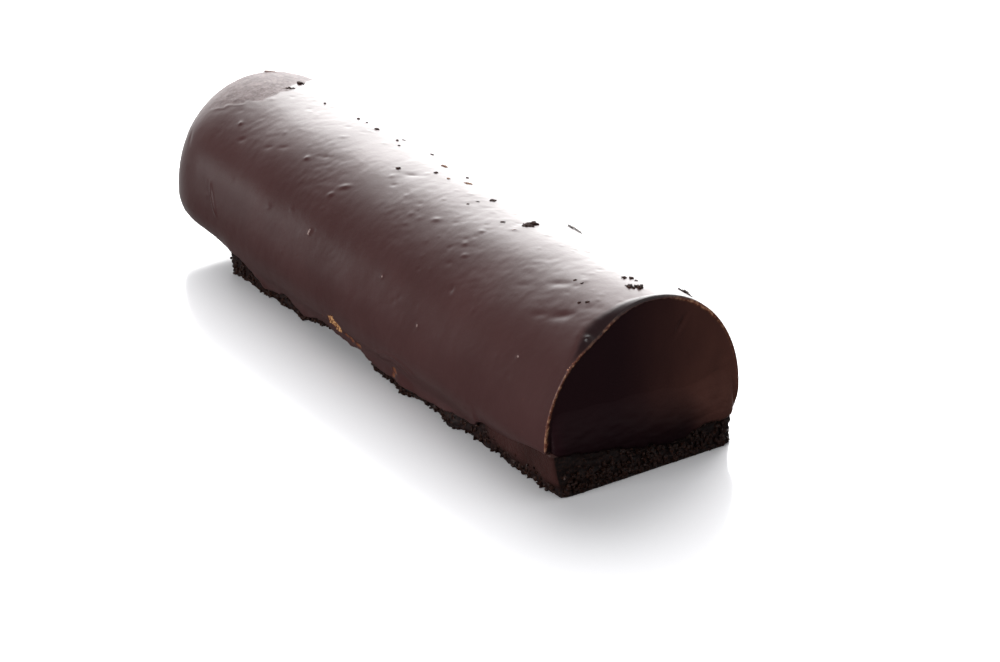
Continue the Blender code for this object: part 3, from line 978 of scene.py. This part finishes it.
# Soft lights: name, centre and target and size in metres, power in watts
SOFT_LIGHTS = [("left_fill", (0.18, -1.35, 0.42), (0, 0, 0.03), (0.8, 0.6), 16.5),
               ("back_sheen", (-0.40, -0.28, 0.045), (-0.12, -0.04, 0.03), (0.10, 0.07), 0.038),
               ("back_top_sheen", (-0.78, 0.27, 0.58), (-0.11, 0, 0.05), (0.30, 0.40), 0.9)]


def studio():
    """Light that grows towards the back right, less towards the front right, and soft lights on the left."""
    world = bpy.data.worlds.new("studio")
    world.use_nodes = True
    world.node_tree.nodes.clear()
    nodes = Nodes(world.node_tree)
    toward = nodes.node("ShaderNodeTexCoord", output="Generated")
    facing, behind, front = (
        nodes.node("ShaderNodeVectorMath", {"operation": "DOT_PRODUCT"}, {0: toward, 1: way}, output="Value")
        for way in (GLOW_FROM, (-1, 0, 0), FRONT_FROM))
    near = facing.between(-0.10, 1.15)
    glow = near * near * behind.between(0.0, 0.55) * GLOW_POWER
    glow = glow + front.between(0.0, 1.0) * FRONT_POWER + GLOW_LEAST
    lit = nodes.node("ShaderNodeBackground", {}, {"Strength": glow})
    seen = nodes.node("ShaderNodeBackground", {}, {"Strength": BACKGROUND_SEEN})
    path = nodes.node("ShaderNodeLightPath", output="Is Camera Ray")
    mixed = nodes.node("ShaderNodeMixShader", {}, {0: path, 1: lit, 2: seen})
    nodes.node("ShaderNodeOutputWorld", {}, {0: mixed})
    bpy.context.scene.world = world
    bpy.context.scene.view_settings.view_transform = "Standard"
    for light in SOFT_LIGHTS:
        soft_light(*light)


def soft_light(name, centre, target, size, power):
    """A rectangular soft light facing a target."""
    data = bpy.data.lights.new(name, "AREA")
    data.shape = "RECTANGLE"
    data.size, data.size_y = size
    data.energy = power
    lamp = bpy.data.objects.new(name, data)
    lamp.location = centre
    lamp.rotation_euler = (Vector(target) - Vector(centre)).to_track_quat("-Z", "Y").to_euler()
    bpy.context.scene.collection.objects.link(lamp)


def camera():
    """The camera, aimed a little beside the cake as in the photograph."""
    a, e = CAMERA_AZIMUTH, CAMERA_ELEVATION
    back = Vector((math.sin(a) * math.cos(e), -math.cos(a) * math.cos(e), math.sin(e)))
    right = Vector((math.cos(a), math.sin(a), 0))
    aim = Vector((0, 0, AIM_HEIGHT)) + right * AIM_RIGHT + back.cross(right) * AIM_UP
    data = bpy.data.cameras.new("camera")
    data.lens = CAMERA_LENS
    data.sensor_width = CAMERA_SENSOR
    eye = bpy.data.objects.new("camera", data)
    eye.location = aim + back * CAMERA_DISTANCE
    eye.rotation_euler = (-back).to_track_quat("-Z", "Y").to_euler()
    bpy.context.scene.collection.objects.link(eye)
    bpy.context.scene.camera = eye


def dress(piece, slot, *nodes):
    """The piece rides on the cake and may stand for solids, whose parts it hides; the slot is not used."""
    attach(piece, "root")
    if nodes:
        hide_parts(*nodes)


camera()
studio()
pale_floor()
dress(glazed_log(), "chocolate_glaze", "log")
dress(front_run(), "chocolate_glaze")
dress(coated_base(), "chocolate_coating", "base")
dark = crumb_finish("dark_crumb", CRUMB_BLACK, CRUMB_DARK, 0.6, 0.2)
flake = crumb_finish("grey_flake", FLAKE_DARK, FLAKE_LIGHT, 0.5)
moist = crumb_finish("moist_crumb", MOIST_CRUMB, CRUMB_BROWN, 0.45, 0.15)
hole = crumb_finish("biscuit_crumb", RUST_BISCUIT, TAN_BISCUIT, 0.6, 0.3)
tan = crumb_finish("tan_crumb", TAN_DARK, TAN_LIGHT, 0.7, 0.3)
pale = crumb_finish("pale_speck", SPECK_DARK, SPECK_LIGHT, 0.5, 0.4)
torn = crumb_finish("torn_rim", RIM_DARK, RIM_LIGHT, 0.45)
dress(lumps("dark_crumbs", crumb_places(DARK_CRUMBS, 3), dark, jagged=True), "chocolate_coating")
dress(lumps("grey_flakes", crumb_places(GREY_FLAKES, 8), flake, jagged=True), "chocolate_coating")
dress(lumps("tan_crumbs", crumb_places(TAN_CRUMBS, 4), tan, jagged=True), "chocolate_coating")
dress(lumps("pale_specks", crumb_places(PALE_SPECKS, 6), pale), "chocolate_glaze")
dress(lumps("biscuit_in_holes", hole_crumbs(), hole, 2, jagged=True), "chocolate_coating")
dress(lumps("rim_bits", rim_bits(), torn, 2), "chocolate_glaze")
dress(lumps("foot_crumbs", foot_places(), moist, 2, jagged=True), "chocolate_coating")
